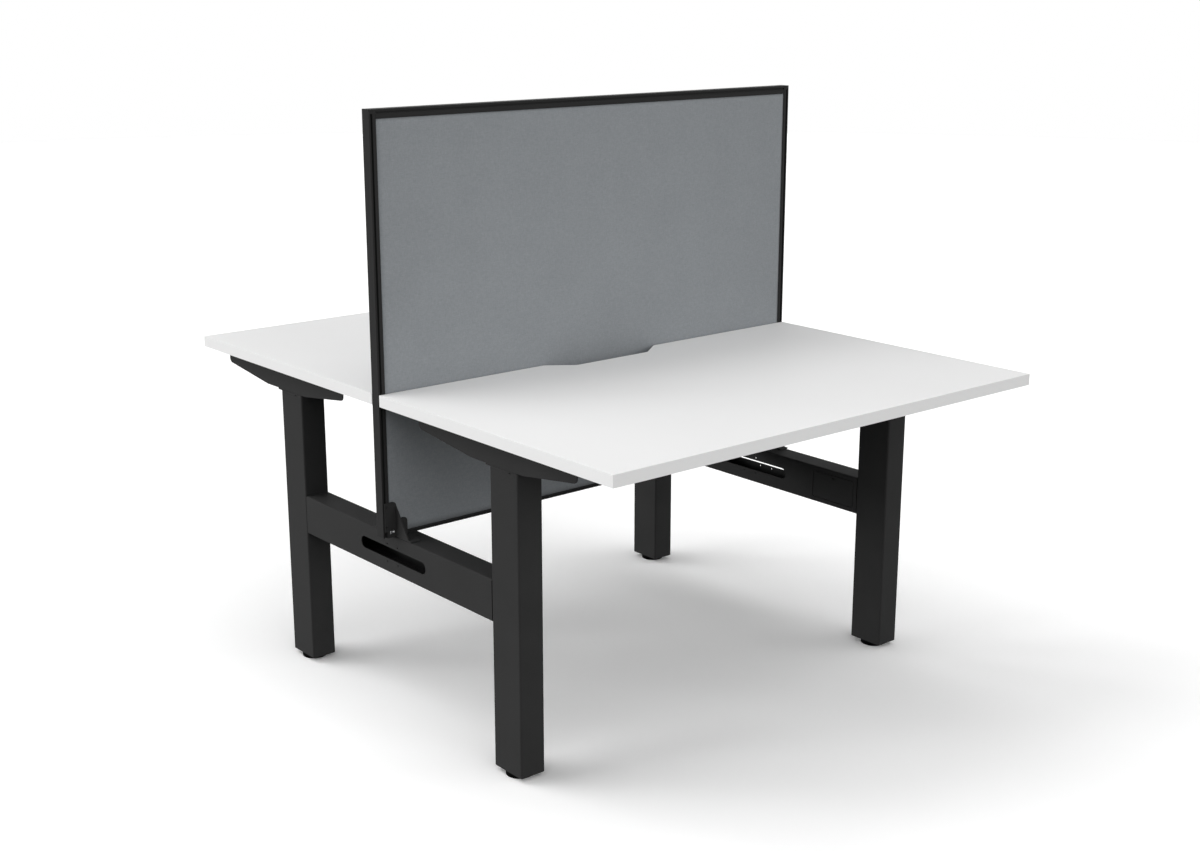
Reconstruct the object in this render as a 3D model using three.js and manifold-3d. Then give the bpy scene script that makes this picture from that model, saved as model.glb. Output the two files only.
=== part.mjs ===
// Back-to-back benching desk for two: two height-adjustable worktops on four lifting columns, with
// two end beams that join the columns and carry a fabric screen between the worktops.
// Millimetres. The origin is on the floor at the centre. X runs along the worktops, the near desk
// lies towards -Y, the far desk towards +Y, and Z points up. Both desks stand at their lowest height.
import * as THREE from 'three';
import { mergeVertices } from 'three/addons/utils/BufferGeometryUtils.js';
import Module from 'manifold-3d';

const wasm = await Module();
wasm.setup();

// Clearances
const SEAT_GAP = 0.3;            // between pieces that are bolted together or rest on each other
const RUN_GAP = 0.3;             // around pieces that slide or turn
const CUT_MARGIN = 2;            // how far a cutter runs past the face it cuts

// Worktops
const TOP_LENGTH = 1200;
const TOP_DEPTH = 750;
const TOP_THICK = 25;
const TOP_HEIGHT = 727;          // upper face above the floor at the lowest setting
const SCALLOP_MOUTH = 330;       // cable cut-out in the rear edge
const SCALLOP_FLOOR = 210;
const SCALLOP_DEPTH = 45;
const SCALLOP_RADIUS = 20;

// Screen
const SCREEN_HEIGHT = 900;
const SCREEN_THICK = 26;
const SCREEN_GAP = 1;            // between the screen and the rear edge of a worktop
const POST_WIDTH = 16;
const TOP_RAIL_WIDTH = 19;
const BOTTOM_RAIL_WIDTH = 9;
const TRIM_RADIUS = 0.8;         // outer edges of the frame
const TRIM_WIDTH = 5;            // between the outer edge of the frame and the groove
const POST_TRIM_WIDTH = 3;
const BOTTOM_TRIM_WIDTH = 3;
const GROOVE_WIDTH = 4;
const POST_GROOVE_WIDTH = 5;
const BOTTOM_GROOVE_WIDTH = 2;
const GROOVE_DEPTH = 3;
const POST_GROOVE_DEPTH = 5;
const GROOVE_END = 9.5;          // plain corner above the end of a post's groove
const LIP_THICK = 1.2;           // the two lips that hold the edge of the panel
const LIP_REACH = 6;
const BOTTOM_LIP_REACH = 3;
const HOLLOW_HALF = 6;           // half thickness of the hollow inside the frame sections
const HOLLOW_WALL = 2;
const FABRIC_THICK = 1.5;

// Columns
const COLUMN_WIDTH = 60;
const COLUMN_DEPTH = 90;
const COLUMN_WALL = 2;
const COLUMN_RADIUS = 4;
const COLUMN_END_INSET = 59;     // column axis from the end of the worktop
const COLUMN_FRONT_INSET = 360;  // column axis from the front edge of the worktop
const BASE_PLATE_THICK = 8;

// Levelling feet
const FOOT_RADIUS = 29;
const FOOT_HEIGHT = 11;          // floor to the underside of the column
const FOOT_CHAMFER = 0.5;
const STUD_RADIUS = 5;
const STUD_LENGTH = 12;          // above the underside of the column

// Telescopic drive inside each column
const GLIDE_LENGTH = 60;
const GLIDE_LIP = 2;
const GLIDE_WALL = 2.4;
const LIFT_TUBE_WALL = 2;
const LIFT_TUBE_RADIUS = 3;
const GUIDE_LENGTH = 40;         // swelled lower end of the lift tube
const GUIDE_MARGIN = 4;
const HEAD_PLATE_THICK = 3;
const HEAD_PLATE_OVERHANG = 16;  // past the column, under the long end of the arm
const LIP_NOTCH_WIDTH = 5;
const LIP_NOTCH_DEPTH = 2;
const LIP_NOTCH_OFFSET = 20;     // from the column axis, towards the short end of the arm
const MOTOR_LENGTH = 115;
const MOTOR_RADIUS = 20;
const GEARBOX_LENGTH = 32;
const GEARBOX_WIDTH = 42;
const GEARBOX_DEPTH = 62;
const MOTOR_FLANGE_THICK = 4;
const SPINDLE_RADIUS = 7;
const SPINDLE_FLANGE_RADIUS = 11;
const SPINDLE_FLANGE_THICK = 3.5;
const SPINDLE_FOOT_GAP = 7;      // lower end of the spindle above the base plate
const NUT_LENGTH = 22;
const NUT_RADIUS = 17;
const POST_RADIUS = 13;
const POST_WALL = 4;
const POST_FLANGE_RADIUS = 22;
const POST_FLANGE_THICK = 4;

// End beams
const BEAM_WIDTH = 60;
const BEAM_HEIGHT = 90;
const BEAM_TOP = 412;            // upper face above the floor
const BEAM_WALL = 2;
const BEAM_RADIUS = 4;
const SLOT_LENGTH = 250;
const SLOT_HEIGHT = 27;
const PINHOLE_RADIUS = 2;
const PINHOLE_OFFSET = 20;       // from the middle of the beam, both ways
const COVER_LENGTH = 131;
const COVER_EDGE = 11.5;         // from the upper and lower faces of the beam
const COVER_RADIUS = 6;
const COVER_INSET = 11;          // from the face of the column
const COVER_GAP = 1.2;
const COVER_SINK = 0.6;          // below the inner face of the beam
const CLIP_WIDTH = 14;
const CLIP_REACH = 4;
const CLIP_THICK = 1.5;
const CLIP_SPACING = 80;
const PULL_SLOT_WIDTH = 9;       // finger slot near the upper edge of the cover
const PULL_SLOT_HEIGHT = 3;
const PULL_SLOT_DROP = 7;

// Screen brackets
const BRACKET_SHEET = 3;
const BRACKET_END_INSET = 3;     // outer edge of the bracket from the end of the screen
const BRACKET_REACH = 30;        // inner edge from the outer face of the beam
const BRACKET_TALL = 78;
const BRACKET_LOW = 39;
const BRACKET_RADIUS = 8;
const RELIEF_WIDTH = 6;          // cut away at the outer foot of the plate
const RELIEF_HEIGHT = 14;
const GUSSET_HEIGHT = 70;
const GUSSET_DEPTH = 50;
const FLANGE_DEPTH = 60;
const FLANGE_REACH = 26;         // inner edge of the flange from the outer face of the beam
const FLANGE_HOLE_EDGE = 14;     // from the free edge of the flange
const BRACKET_HOLE_RADIUS = 1.9;
const BRACKET_HOLE_INSET = 3.6;
const BRACKET_UPPER_HOLE = 69;
const BRACKET_LOWER_HOLE = 25;
const BRACKET_SLOT_WIDTH = 12;
const BRACKET_SLOT_HEIGHT = 8;
const BRACKET_SLOT_RADIUS = 2.5;
const BRACKET_SLOT_INSET = 18;
const BRACKET_SLOT_RISE = 12;

// Support arms
const ARM_WIDTH = 60;
const ARM_HEIGHT = 51;
const ARM_SHEET = 3;
const ARM_END_HEIGHT = 29;
const ARM_END_RADIUS = 10;
const ARM_LONG_REACH = 288;      // long end, from the column axis
const ARM_SHORT_REACH = 224;     // short end, from the column axis
const ARM_LONG_FLAT = 108;       // flat lower edge on the long side, from the column axis
const ARM_SHORT_FLAT = 62;

// Under-worktop pieces
const RAIL_DEPTH = 50;
const RAIL_HEIGHT = 30;
const RAIL_WALL = 2;
const RAIL_RADIUS = 3;
const RAIL_DROP = 8;             // below the worktop
const RAIL_PLATE_DEPTH = 72;
const RAIL_PLATE_HEIGHT = 38;
const RAIL_PLATE_THICK = 3;
const CONTROL_LENGTH = 280;
const CONTROL_DEPTH = 100;
const CONTROL_HEIGHT = 32;
const CONTROL_RADIUS = 8;
const CONTROL_RAIL_GAP = 15;
const SOCKET_WIDTH = 14;
const SOCKET_HEIGHT = 12;
const SOCKET_DEPTH = 10;
const SOCKET_SPACING = 26;
const SOCKET_COUNT = 3;
const HANDSET_LENGTH = 100;
const HANDSET_DEPTH = 60;
const HANDSET_HEIGHT = 18;
const HANDSET_RADIUS = 9;
const HANDSET_SETBACK = 60;      // from the front edge of the worktop
const HANDSET_OFFSET = 330;      // to the user's right of the middle
const ROCKER_WIDTH = 62;
const ROCKER_HALF = 3.5;
const ROCKER_HUB = 4.5;
const ROCKER_REACH = 15;         // pivot to the tip
const ROCKER_PIVOT_DEPTH = 9;    // pivot behind the front of the handset
const ROCKER_MOUTH = 12;
const ROCKER_SIDE_GAP = 1;
const ROCKER_PIN_RADIUS = 1.8;
const ROCKER_PIN_LENGTH = 3;

// Places worked out from the sizes above
const SCREEN_HALF = SCREEN_THICK / 2;
const SCREEN_END = TOP_LENGTH / 2;
const SCREEN_BOTTOM = BEAM_TOP + SEAT_GAP;
const SCREEN_TOP = SCREEN_BOTTOM + SCREEN_HEIGHT;
const TOP_REAR = SCREEN_HALF + SCREEN_GAP;
const TOP_FRONT = TOP_REAR + TOP_DEPTH;
const TOP_UNDERSIDE = TOP_HEIGHT - TOP_THICK;
const COLUMN_X = TOP_LENGTH / 2 - COLUMN_END_INSET;
const COLUMN_Y = TOP_FRONT - COLUMN_FRONT_INSET;
const ARM_TOP = TOP_UNDERSIDE - SEAT_GAP;
const ARM_BOTTOM = ARM_TOP - ARM_HEIGHT;
const HEAD_TOP = ARM_BOTTOM - SEAT_GAP;
const HEAD_BOTTOM = HEAD_TOP - HEAD_PLATE_THICK;
const GLIDE_TOP = HEAD_BOTTOM - RUN_GAP;
const COLUMN_TOP = GLIDE_TOP - GLIDE_LIP - SEAT_GAP;
const BASE_TOP = FOOT_HEIGHT + BASE_PLATE_THICK;
const MOTOR_TOP = HEAD_BOTTOM - SEAT_GAP;
const MOTOR_BOTTOM = MOTOR_TOP - MOTOR_LENGTH;
const SPINDLE_TOP = MOTOR_BOTTOM - SEAT_GAP;
const SPINDLE_SHOULDER = SPINDLE_TOP - SPINDLE_FLANGE_THICK;
const SPINDLE_BOTTOM = BASE_TOP + SPINDLE_FOOT_GAP;
const NUT_TOP = SPINDLE_SHOULDER - RUN_GAP;
const LIFT = NUT_TOP - NUT_LENGTH - SPINDLE_BOTTOM;
const LIFT_TUBE_WIDTH = COLUMN_WIDTH - 2 * (COLUMN_WALL + GLIDE_WALL + 2 * RUN_GAP);
const LIFT_TUBE_DEPTH = COLUMN_DEPTH - 2 * (COLUMN_WALL + GLIDE_WALL + 2 * RUN_GAP);
const LIFT_TUBE_BOTTOM = COLUMN_TOP - GLIDE_LENGTH - GUIDE_MARGIN - GUIDE_LENGTH - LIFT;
const BEAM_OUTER = COLUMN_X + BEAM_WIDTH / 2;
const BEAM_INNER = COLUMN_X - BEAM_WIDTH / 2;
const BEAM_MIDDLE = BEAM_TOP - BEAM_HEIGHT / 2;
const BEAM_HALF = COLUMN_Y - COLUMN_DEPTH / 2 - SEAT_GAP;
const COVER_HEIGHT = BEAM_HEIGHT - 2 * COVER_EDGE;
const COVER_Y = COLUMN_Y - COLUMN_DEPTH / 2 - COVER_INSET - COVER_LENGTH / 2;
const PANEL_END = SCREEN_END - POST_WIDTH + LIP_REACH - SEAT_GAP;
const PANEL_BOTTOM = SCREEN_BOTTOM + BOTTOM_RAIL_WIDTH - BOTTOM_LIP_REACH + SEAT_GAP;
const PANEL_TOP = SCREEN_TOP - TOP_RAIL_WIDTH + LIP_REACH - SEAT_GAP;
const CHANNEL_HALF = SCREEN_HALF - LIP_THICK;
const FABRIC_OUTER = CHANNEL_HALF - SEAT_GAP;
const FABRIC_INNER = FABRIC_OUTER - FABRIC_THICK;
const CORE_HALF = FABRIC_INNER - SEAT_GAP;

// Facets on round pieces
const CORNER_STEPS = 2;
const ROUND_SIDES = 24;
const INNER_SIDES = 16;
const SMALL_SIDES = 10;

const FINISHES = {
  black_steel: { color: 0x2b2b2c, roughness: 0.55, metalness: 0.3 },
  black_aluminium: { color: 0x262627, roughness: 0.5, metalness: 0.4 },
  black_plastic: { color: 0x161617, roughness: 0.6, metalness: 0 },
  white_melamine: { color: 0xf1f1ef, roughness: 0.5, metalness: 0 },
  grey_fabric: { color: 0x7c8184, roughness: 0.95, metalness: 0 },
  board: { color: 0xb79b74, roughness: 0.85, metalness: 0 },
  bright_steel: { color: 0xb4b7ba, roughness: 0.35, metalness: 0.9 },
  motor_grey: { color: 0x55585a, roughness: 0.5, metalness: 0.6 },
};

const desk = new THREE.Group();

// Solids from three.js geometry
function solid(geometry) {
  const bare = new THREE.BufferGeometry();
  bare.setAttribute('position', geometry.getAttribute('position').clone());
  if (geometry.index) {
    bare.setIndex(geometry.index.clone());
  }
  const merged = mergeVertices(bare, 1e-4);
  const vertProperties = new Float32Array(merged.getAttribute('position').array);
  const triVerts = new Uint32Array(merged.index.array);
  return new wasm.Manifold(new wasm.Mesh({ numProp: 3, vertProperties, triVerts }));
}

function addPiece(name, body, finish) {
  const { vertProperties, triVerts } = body.getMesh();
  const geometry = new THREE.BufferGeometry();
  geometry.setAttribute('position', new THREE.BufferAttribute(new Float32Array(vertProperties), 3));
  geometry.setIndex(new THREE.BufferAttribute(new Uint32Array(triVerts), 1));
  geometry.computeVertexNormals();
  const mesh = new THREE.Mesh(geometry, new THREE.MeshStandardMaterial(FINISHES[finish]));
  mesh.name = name;
  desk.add(mesh);
}

function box(x0, x1, y0, y1, z0, z1) {
  const geometry = new THREE.BoxGeometry(Math.abs(x1 - x0), Math.abs(y1 - y0), Math.abs(z1 - z0));
  geometry.translate((x0 + x1) / 2, (y0 + y1) / 2, (z0 + z1) / 2);
  return solid(geometry);
}

function extrusion(shape, depth) {
  return new THREE.ExtrudeGeometry(shape, { depth, bevelEnabled: false, curveSegments: CORNER_STEPS });
}

// An outline in X and Y, from z0 up to z1
function slabXY(shape, z0, z1) {
  const geometry = extrusion(shape, z1 - z0);
  geometry.translate(0, 0, z0);
  return solid(geometry);
}

// An outline in Y and Z, between x0 and x1
function slabYZ(shape, x0, x1) {
  const geometry = extrusion(shape, Math.abs(x1 - x0));
  const turn = new THREE.Matrix4().makeBasis(
    new THREE.Vector3(0, 1, 0),
    new THREE.Vector3(0, 0, 1),
    new THREE.Vector3(1, 0, 0),
  );
  geometry.applyMatrix4(turn);
  geometry.translate(Math.min(x0, x1), 0, 0);
  return solid(geometry);
}

// An outline in X and Z, between y0 and y1
function slabXZ(shape, y0, y1) {
  const geometry = extrusion(shape, Math.abs(y1 - y0));
  const turn = new THREE.Matrix4().makeBasis(
    new THREE.Vector3(1, 0, 0),
    new THREE.Vector3(0, 0, 1),
    new THREE.Vector3(0, -1, 0),
  );
  geometry.applyMatrix4(turn);
  geometry.translate(0, Math.max(y0, y1), 0);
  return solid(geometry);
}

// A closed outline through corner points [a, b, radius], with an arc at each corner that has a radius
function outline(corners) {
  const shape = new THREE.Shape();
  corners.forEach(([a, b, radius = 0], i) => {
    const corner = new THREE.Vector2(a, b);
    const before = new THREE.Vector2(...corners.at(i - 1).slice(0, 2));
    const after = new THREE.Vector2(...corners[(i + 1) % corners.length].slice(0, 2));
    const toBefore = before.sub(corner).normalize();
    const toAfter = after.sub(corner).normalize();
    const half = toBefore.angleTo(toAfter) / 2;
    const cut = radius / Math.tan(half);
    const start = corner.clone().addScaledVector(toBefore, cut);
    const end = corner.clone().addScaledVector(toAfter, cut);
    if (i === 0) {
      shape.moveTo(start.x, start.y);
    } else {
      shape.lineTo(start.x, start.y);
    }
    if (radius > 0) {
      const middle = toBefore.clone().add(toAfter).normalize();
      const centre = corner.clone().addScaledVector(middle, radius / Math.sin(half));
      const from = Math.atan2(start.y - centre.y, start.x - centre.x);
      const to = Math.atan2(end.y - centre.y, end.x - centre.x);
      const clockwise = toBefore.cross(toAfter) > 0;
      shape.absarc(centre.x, centre.y, radius, from, to, clockwise);
    }
  });
  shape.closePath();
  return shape;
}

function rectangle(a0, a1, b0, b1, radius = 0) {
  return outline([[a0, b0, radius], [a1, b0, radius], [a1, b1, radius], [a0, b1, radius]]);
}

function rectangleAt(a, b, width, height, radius = 0) {
  return rectangle(a - width / 2, a + width / 2, b - height / 2, b + height / 2, radius);
}

function cylinderZ(x, y, z0, z1, radius, sides = INNER_SIDES) {
  const geometry = new THREE.CylinderGeometry(radius, radius, z1 - z0, sides);
  geometry.rotateX(Math.PI / 2);
  geometry.translate(x, y, (z0 + z1) / 2);
  return solid(geometry);
}

function cylinderX(x0, x1, y, z, radius, sides = SMALL_SIDES) {
  const geometry = new THREE.CylinderGeometry(radius, radius, x1 - x0, sides);
  geometry.rotateZ(Math.PI / 2);
  geometry.translate((x0 + x1) / 2, y, z);
  return solid(geometry);
}

function cylinderY(x, y0, y1, z, radius, sides = SMALL_SIDES) {
  const geometry = new THREE.CylinderGeometry(radius, radius, Math.abs(y1 - y0), sides);
  geometry.translate(x, (y0 + y1) / 2, z);
  return solid(geometry);
}

// A turned piece on the vertical axis through x, y; the profile runs from the axis to the axis
function turned(x, y, profile, sides = INNER_SIDES) {
  const points = profile.map(([radius, z]) => new THREE.Vector2(radius, z));
  const geometry = new THREE.LatheGeometry(points, sides);
  geometry.rotateX(Math.PI / 2);
  geometry.translate(x, y, 0);
  return solid(geometry);
}

function without(body, ...cutters) {
  return cutters.reduce((rest, cutter) => rest.subtract(cutter), body);
}

function joined(body, ...others) {
  return others.reduce((sum, other) => sum.add(other), body);
}

// Outer column: a rounded tube with a thick base plate that takes the stud of the foot
function column(x, y) {
  const inner = rectangleAt(
    x, y, COLUMN_WIDTH - 2 * COLUMN_WALL, COLUMN_DEPTH - 2 * COLUMN_WALL, COLUMN_RADIUS - COLUMN_WALL,
  );
  return without(
    slabXY(rectangleAt(x, y, COLUMN_WIDTH, COLUMN_DEPTH, COLUMN_RADIUS), FOOT_HEIGHT, COLUMN_TOP),
    slabXY(inner, BASE_TOP, COLUMN_TOP + CUT_MARGIN),
    cylinderZ(x, y, FOOT_HEIGHT - CUT_MARGIN, BASE_TOP + CUT_MARGIN, STUD_RADIUS + RUN_GAP),
  );
}

// Left and right legs are one leg turned half round, so the long end of the arm points to +Y on the
// left and to -Y on the right
function longWay(side) {
  return -side;
}

// Glide collar: a plastic sleeve in the mouth of the column with a notched lip on its rim
function glide(side, x, y) {
  const sleeveWidth = COLUMN_WIDTH - 2 * (COLUMN_WALL + RUN_GAP);
  const sleeveDepth = COLUMN_DEPTH - 2 * (COLUMN_WALL + RUN_GAP);
  const mouth = rectangleAt(
    x, y, LIFT_TUBE_WIDTH + 2 * RUN_GAP, LIFT_TUBE_DEPTH + 2 * RUN_GAP, LIFT_TUBE_RADIUS,
  );
  const lipBottom = GLIDE_TOP - GLIDE_LIP;
  const sleeve = rectangleAt(x, y, sleeveWidth, sleeveDepth, COLUMN_RADIUS - COLUMN_WALL);
  const lip = rectangleAt(x, y, COLUMN_WIDTH, COLUMN_DEPTH, COLUMN_RADIUS);
  const notchY = y - longWay(side) * LIP_NOTCH_OFFSET;
  const notches = [-1, 1].map((face) => {
    const rim = x + face * COLUMN_WIDTH / 2;
    return box(
      rim - face * LIP_NOTCH_DEPTH, rim + face * CUT_MARGIN,
      notchY - LIP_NOTCH_WIDTH / 2, notchY + LIP_NOTCH_WIDTH / 2,
      lipBottom - CUT_MARGIN, GLIDE_TOP + CUT_MARGIN,
    );
  });
  return without(
    joined(slabXY(sleeve, COLUMN_TOP - GLIDE_LENGTH, GLIDE_TOP), slabXY(lip, lipBottom, GLIDE_TOP)),
    slabXY(mouth, COLUMN_TOP - GLIDE_LENGTH - CUT_MARGIN, GLIDE_TOP + CUT_MARGIN),
    ...notches,
  );
}

// Lift tube: slides in the column, with a head plate for the arm and a swelled lower end
function liftTube(side, x, y) {
  const guideWidth = COLUMN_WIDTH - 2 * (COLUMN_WALL + RUN_GAP);
  const guideDepth = COLUMN_DEPTH - 2 * (COLUMN_WALL + RUN_GAP);
  const tube = rectangleAt(x, y, LIFT_TUBE_WIDTH, LIFT_TUBE_DEPTH, LIFT_TUBE_RADIUS);
  const guide = rectangleAt(x, y, guideWidth, guideDepth, COLUMN_RADIUS - COLUMN_WALL);
  const hollow = rectangleAt(
    x, y, LIFT_TUBE_WIDTH - 2 * LIFT_TUBE_WALL, LIFT_TUBE_DEPTH - 2 * LIFT_TUBE_WALL,
    LIFT_TUBE_RADIUS - LIFT_TUBE_WALL,
  );
  const headMiddle = y + longWay(side) * HEAD_PLATE_OVERHANG / 2;
  const head = rectangleAt(
    x, headMiddle, COLUMN_WIDTH, COLUMN_DEPTH + HEAD_PLATE_OVERHANG, COLUMN_RADIUS,
  );
  return without(
    joined(
      slabXY(tube, LIFT_TUBE_BOTTOM, HEAD_TOP),
      slabXY(guide, LIFT_TUBE_BOTTOM, LIFT_TUBE_BOTTOM + GUIDE_LENGTH),
      slabXY(head, HEAD_BOTTOM, HEAD_TOP),
    ),
    slabXY(hollow, LIFT_TUBE_BOTTOM - CUT_MARGIN, HEAD_BOTTOM),
  );
}

// Motor: hangs from the head plate inside the lift tube, with its gearbox below
function motor(x, y) {
  const gearbox = rectangleAt(x, y, GEARBOX_WIDTH, GEARBOX_DEPTH, LIFT_TUBE_RADIUS);
  return joined(
    slabXY(gearbox, MOTOR_BOTTOM, MOTOR_BOTTOM + GEARBOX_LENGTH),
    cylinderZ(x, y, MOTOR_BOTTOM + GEARBOX_LENGTH - CUT_MARGIN, MOTOR_TOP, MOTOR_RADIUS),
    slabXY(gearbox, MOTOR_TOP - MOTOR_FLANGE_THICK, MOTOR_TOP),
  );
}

function spindle(x, y) {
  return turned(x, y, [
    [0, SPINDLE_BOTTOM],
    [SPINDLE_RADIUS, SPINDLE_BOTTOM],
    [SPINDLE_RADIUS, SPINDLE_SHOULDER],
    [SPINDLE_FLANGE_RADIUS, SPINDLE_SHOULDER],
    [SPINDLE_FLANGE_RADIUS, SPINDLE_TOP],
    [0, SPINDLE_TOP],
  ]);
}

// Nut post: a tube on the base plate with the spindle nut at its head
function nutPost(x, y) {
  const bottom = BASE_TOP + SEAT_GAP;
  const nutBottom = NUT_TOP - NUT_LENGTH;
  return without(
    turned(x, y, [
      [0, bottom],
      [POST_FLANGE_RADIUS, bottom],
      [POST_FLANGE_RADIUS, bottom + POST_FLANGE_THICK],
      [POST_RADIUS, bottom + POST_FLANGE_THICK],
      [POST_RADIUS, nutBottom],
      [NUT_RADIUS, nutBottom],
      [NUT_RADIUS, NUT_TOP],
      [0, NUT_TOP],
    ]),
    cylinderZ(x, y, bottom - CUT_MARGIN, nutBottom, POST_RADIUS - POST_WALL),
    cylinderZ(x, y, nutBottom - CUT_MARGIN, NUT_TOP + CUT_MARGIN, SPINDLE_RADIUS + RUN_GAP),
  );
}

function foot(x, y) {
  const top = FOOT_HEIGHT - SEAT_GAP;
  return turned(x, y, [
    [0, 0],
    [FOOT_RADIUS - FOOT_CHAMFER, 0],
    [FOOT_RADIUS, FOOT_CHAMFER],
    [FOOT_RADIUS, top - FOOT_CHAMFER],
    [FOOT_RADIUS - FOOT_CHAMFER, top],
    [STUD_RADIUS, top],
    [STUD_RADIUS, FOOT_HEIGHT + STUD_LENGTH],
    [0, FOOT_HEIGHT + STUD_LENGTH],
  ], ROUND_SIDES);
}

// End beam: a rounded tube between the columns with a cable slot through both faces, four small
// holes beside it, and an opening in the inner face near each column
function beam(side) {
  const x = side * COLUMN_X;
  const section = rectangleAt(x, BEAM_MIDDLE, BEAM_WIDTH, BEAM_HEIGHT, BEAM_RADIUS);
  const hollow = rectangleAt(
    x, BEAM_MIDDLE, BEAM_WIDTH - 2 * BEAM_WALL, BEAM_HEIGHT - 2 * BEAM_WALL, BEAM_RADIUS - BEAM_WALL,
  );
  const past0 = x - BEAM_WIDTH / 2 - CUT_MARGIN;
  const past1 = x + BEAM_WIDTH / 2 + CUT_MARGIN;
  const slot = rectangleAt(0, BEAM_MIDDLE, SLOT_LENGTH, SLOT_HEIGHT, SLOT_HEIGHT / 2 - RUN_GAP);
  const pinholes = [-1, 1].flatMap((a) => [-1, 1].map((b) => cylinderX(
    past0, past1, a * PINHOLE_OFFSET, BEAM_MIDDLE + b * PINHOLE_OFFSET, PINHOLE_RADIUS,
  )));
  const hatches = [-1, 1].map((end) => slabYZ(
    rectangleAt(end * COVER_Y, BEAM_MIDDLE, COVER_LENGTH, COVER_HEIGHT, COVER_RADIUS),
    side * (BEAM_INNER - CUT_MARGIN),
    side * (BEAM_INNER + BEAM_WALL + CUT_MARGIN),
  ));
  return without(
    slabXZ(section, -BEAM_HALF, BEAM_HALF),
    slabXZ(hollow, -BEAM_HALF - CUT_MARGIN, BEAM_HALF + CUT_MARGIN),
    slabYZ(slot, past0, past1),
    ...pinholes,
    ...hatches,
  );
}

// Access cover: lies in the inner face of the beam, held by clips behind the wall
function cover(side, end) {
  const y = end * COVER_Y;
  const plate = rectangleAt(
    y, BEAM_MIDDLE, COVER_LENGTH - 2 * COVER_GAP, COVER_HEIGHT - 2 * COVER_GAP, COVER_RADIUS - COVER_GAP,
  );
  const clipFace = BEAM_INNER + BEAM_WALL + SEAT_GAP;
  const clipBack = clipFace + CLIP_THICK;
  const clipReach = COVER_HEIGHT / 2 + CLIP_REACH;
  const clips = [-1, 1].map((place) => {
    const middle = y + place * CLIP_SPACING / 2;
    return box(
      side * clipFace, side * clipBack, middle - CLIP_WIDTH / 2, middle + CLIP_WIDTH / 2,
      BEAM_MIDDLE - clipReach, BEAM_MIDDLE + clipReach,
    );
  });
  const slotTop = BEAM_MIDDLE + COVER_HEIGHT / 2 - PULL_SLOT_DROP;
  const pullSlot = box(
    side * (BEAM_INNER - CUT_MARGIN), side * (clipBack + CUT_MARGIN),
    y - PULL_SLOT_WIDTH / 2, y + PULL_SLOT_WIDTH / 2, slotTop - PULL_SLOT_HEIGHT, slotTop,
  );
  const face = side * (BEAM_INNER + COVER_SINK);
  return without(joined(slabYZ(plate, face, side * clipBack), ...clips), pullSlot);
}

// Screen bracket: a stepped plate against the screen, a base flange on the beam and a gusset
function bracket(side, end) {
  const plateNear = end * (SCREEN_HALF + SEAT_GAP);
  const plateFar = end * (SCREEN_HALF + SEAT_GAP + BRACKET_SHEET);
  const outer = side * (SCREEN_END - BRACKET_END_INSET);
  const gussetOuter = side * BEAM_OUTER;
  const gussetInner = side * (BEAM_OUTER - BRACKET_SHEET);
  const inner = side * (BEAM_OUTER - BRACKET_REACH);
  const bottom = BEAM_TOP + SEAT_GAP;
  const relief = outer - side * RELIEF_WIDTH;
  const plate = outline([
    [relief, bottom],
    [relief, bottom + RELIEF_HEIGHT],
    [outer, bottom + RELIEF_HEIGHT],
    [outer, bottom + BRACKET_TALL],
    [gussetInner, bottom + BRACKET_TALL, BRACKET_RADIUS],
    [gussetInner, bottom + BRACKET_LOW],
    [inner, bottom + BRACKET_LOW, BRACKET_RADIUS],
    [inner, bottom],
  ]);
  const gusset = outline([
    [plateNear, bottom],
    [plateNear, bottom + GUSSET_HEIGHT],
    [plateFar, bottom + GUSSET_HEIGHT],
    [end * (SCREEN_HALF + GUSSET_DEPTH), bottom + BRACKET_SHEET],
    [end * (SCREEN_HALF + GUSSET_DEPTH), bottom],
  ]);
  const flangeEdge = end * (SCREEN_HALF + FLANGE_DEPTH);
  const cutNear = plateNear - end * CUT_MARGIN;
  const cutFar = plateFar + end * CUT_MARGIN;
  const holeX = outer - side * BRACKET_HOLE_INSET;
  const slotX = outer - side * BRACKET_SLOT_INSET;
  const slot = rectangleAt(
    slotX, bottom + BRACKET_SLOT_RISE, BRACKET_SLOT_WIDTH, BRACKET_SLOT_HEIGHT, BRACKET_SLOT_RADIUS,
  );
  const flangeInner = side * (BEAM_OUTER - FLANGE_REACH);
  const flangeHoleY = end * (SCREEN_HALF + FLANGE_DEPTH - FLANGE_HOLE_EDGE);
  return without(
    joined(
      slabXZ(plate, plateNear, plateFar),
      slabYZ(gusset, gussetInner, gussetOuter),
      box(gussetOuter, flangeInner, plateNear, flangeEdge, bottom, bottom + BRACKET_SHEET),
    ),
    cylinderY(holeX, cutNear, cutFar, bottom + BRACKET_UPPER_HOLE, BRACKET_HOLE_RADIUS),
    cylinderY(holeX, cutNear, cutFar, bottom + BRACKET_LOWER_HOLE, BRACKET_HOLE_RADIUS),
    slabXZ(slot, cutNear, cutFar),
    cylinderZ(
      (gussetInner + flangeInner) / 2, flangeHoleY, bottom - CUT_MARGIN, bottom + BRACKET_SHEET + CUT_MARGIN,
      BRACKET_HOLE_RADIUS, SMALL_SIDES,
    ),
  );
}

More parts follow.
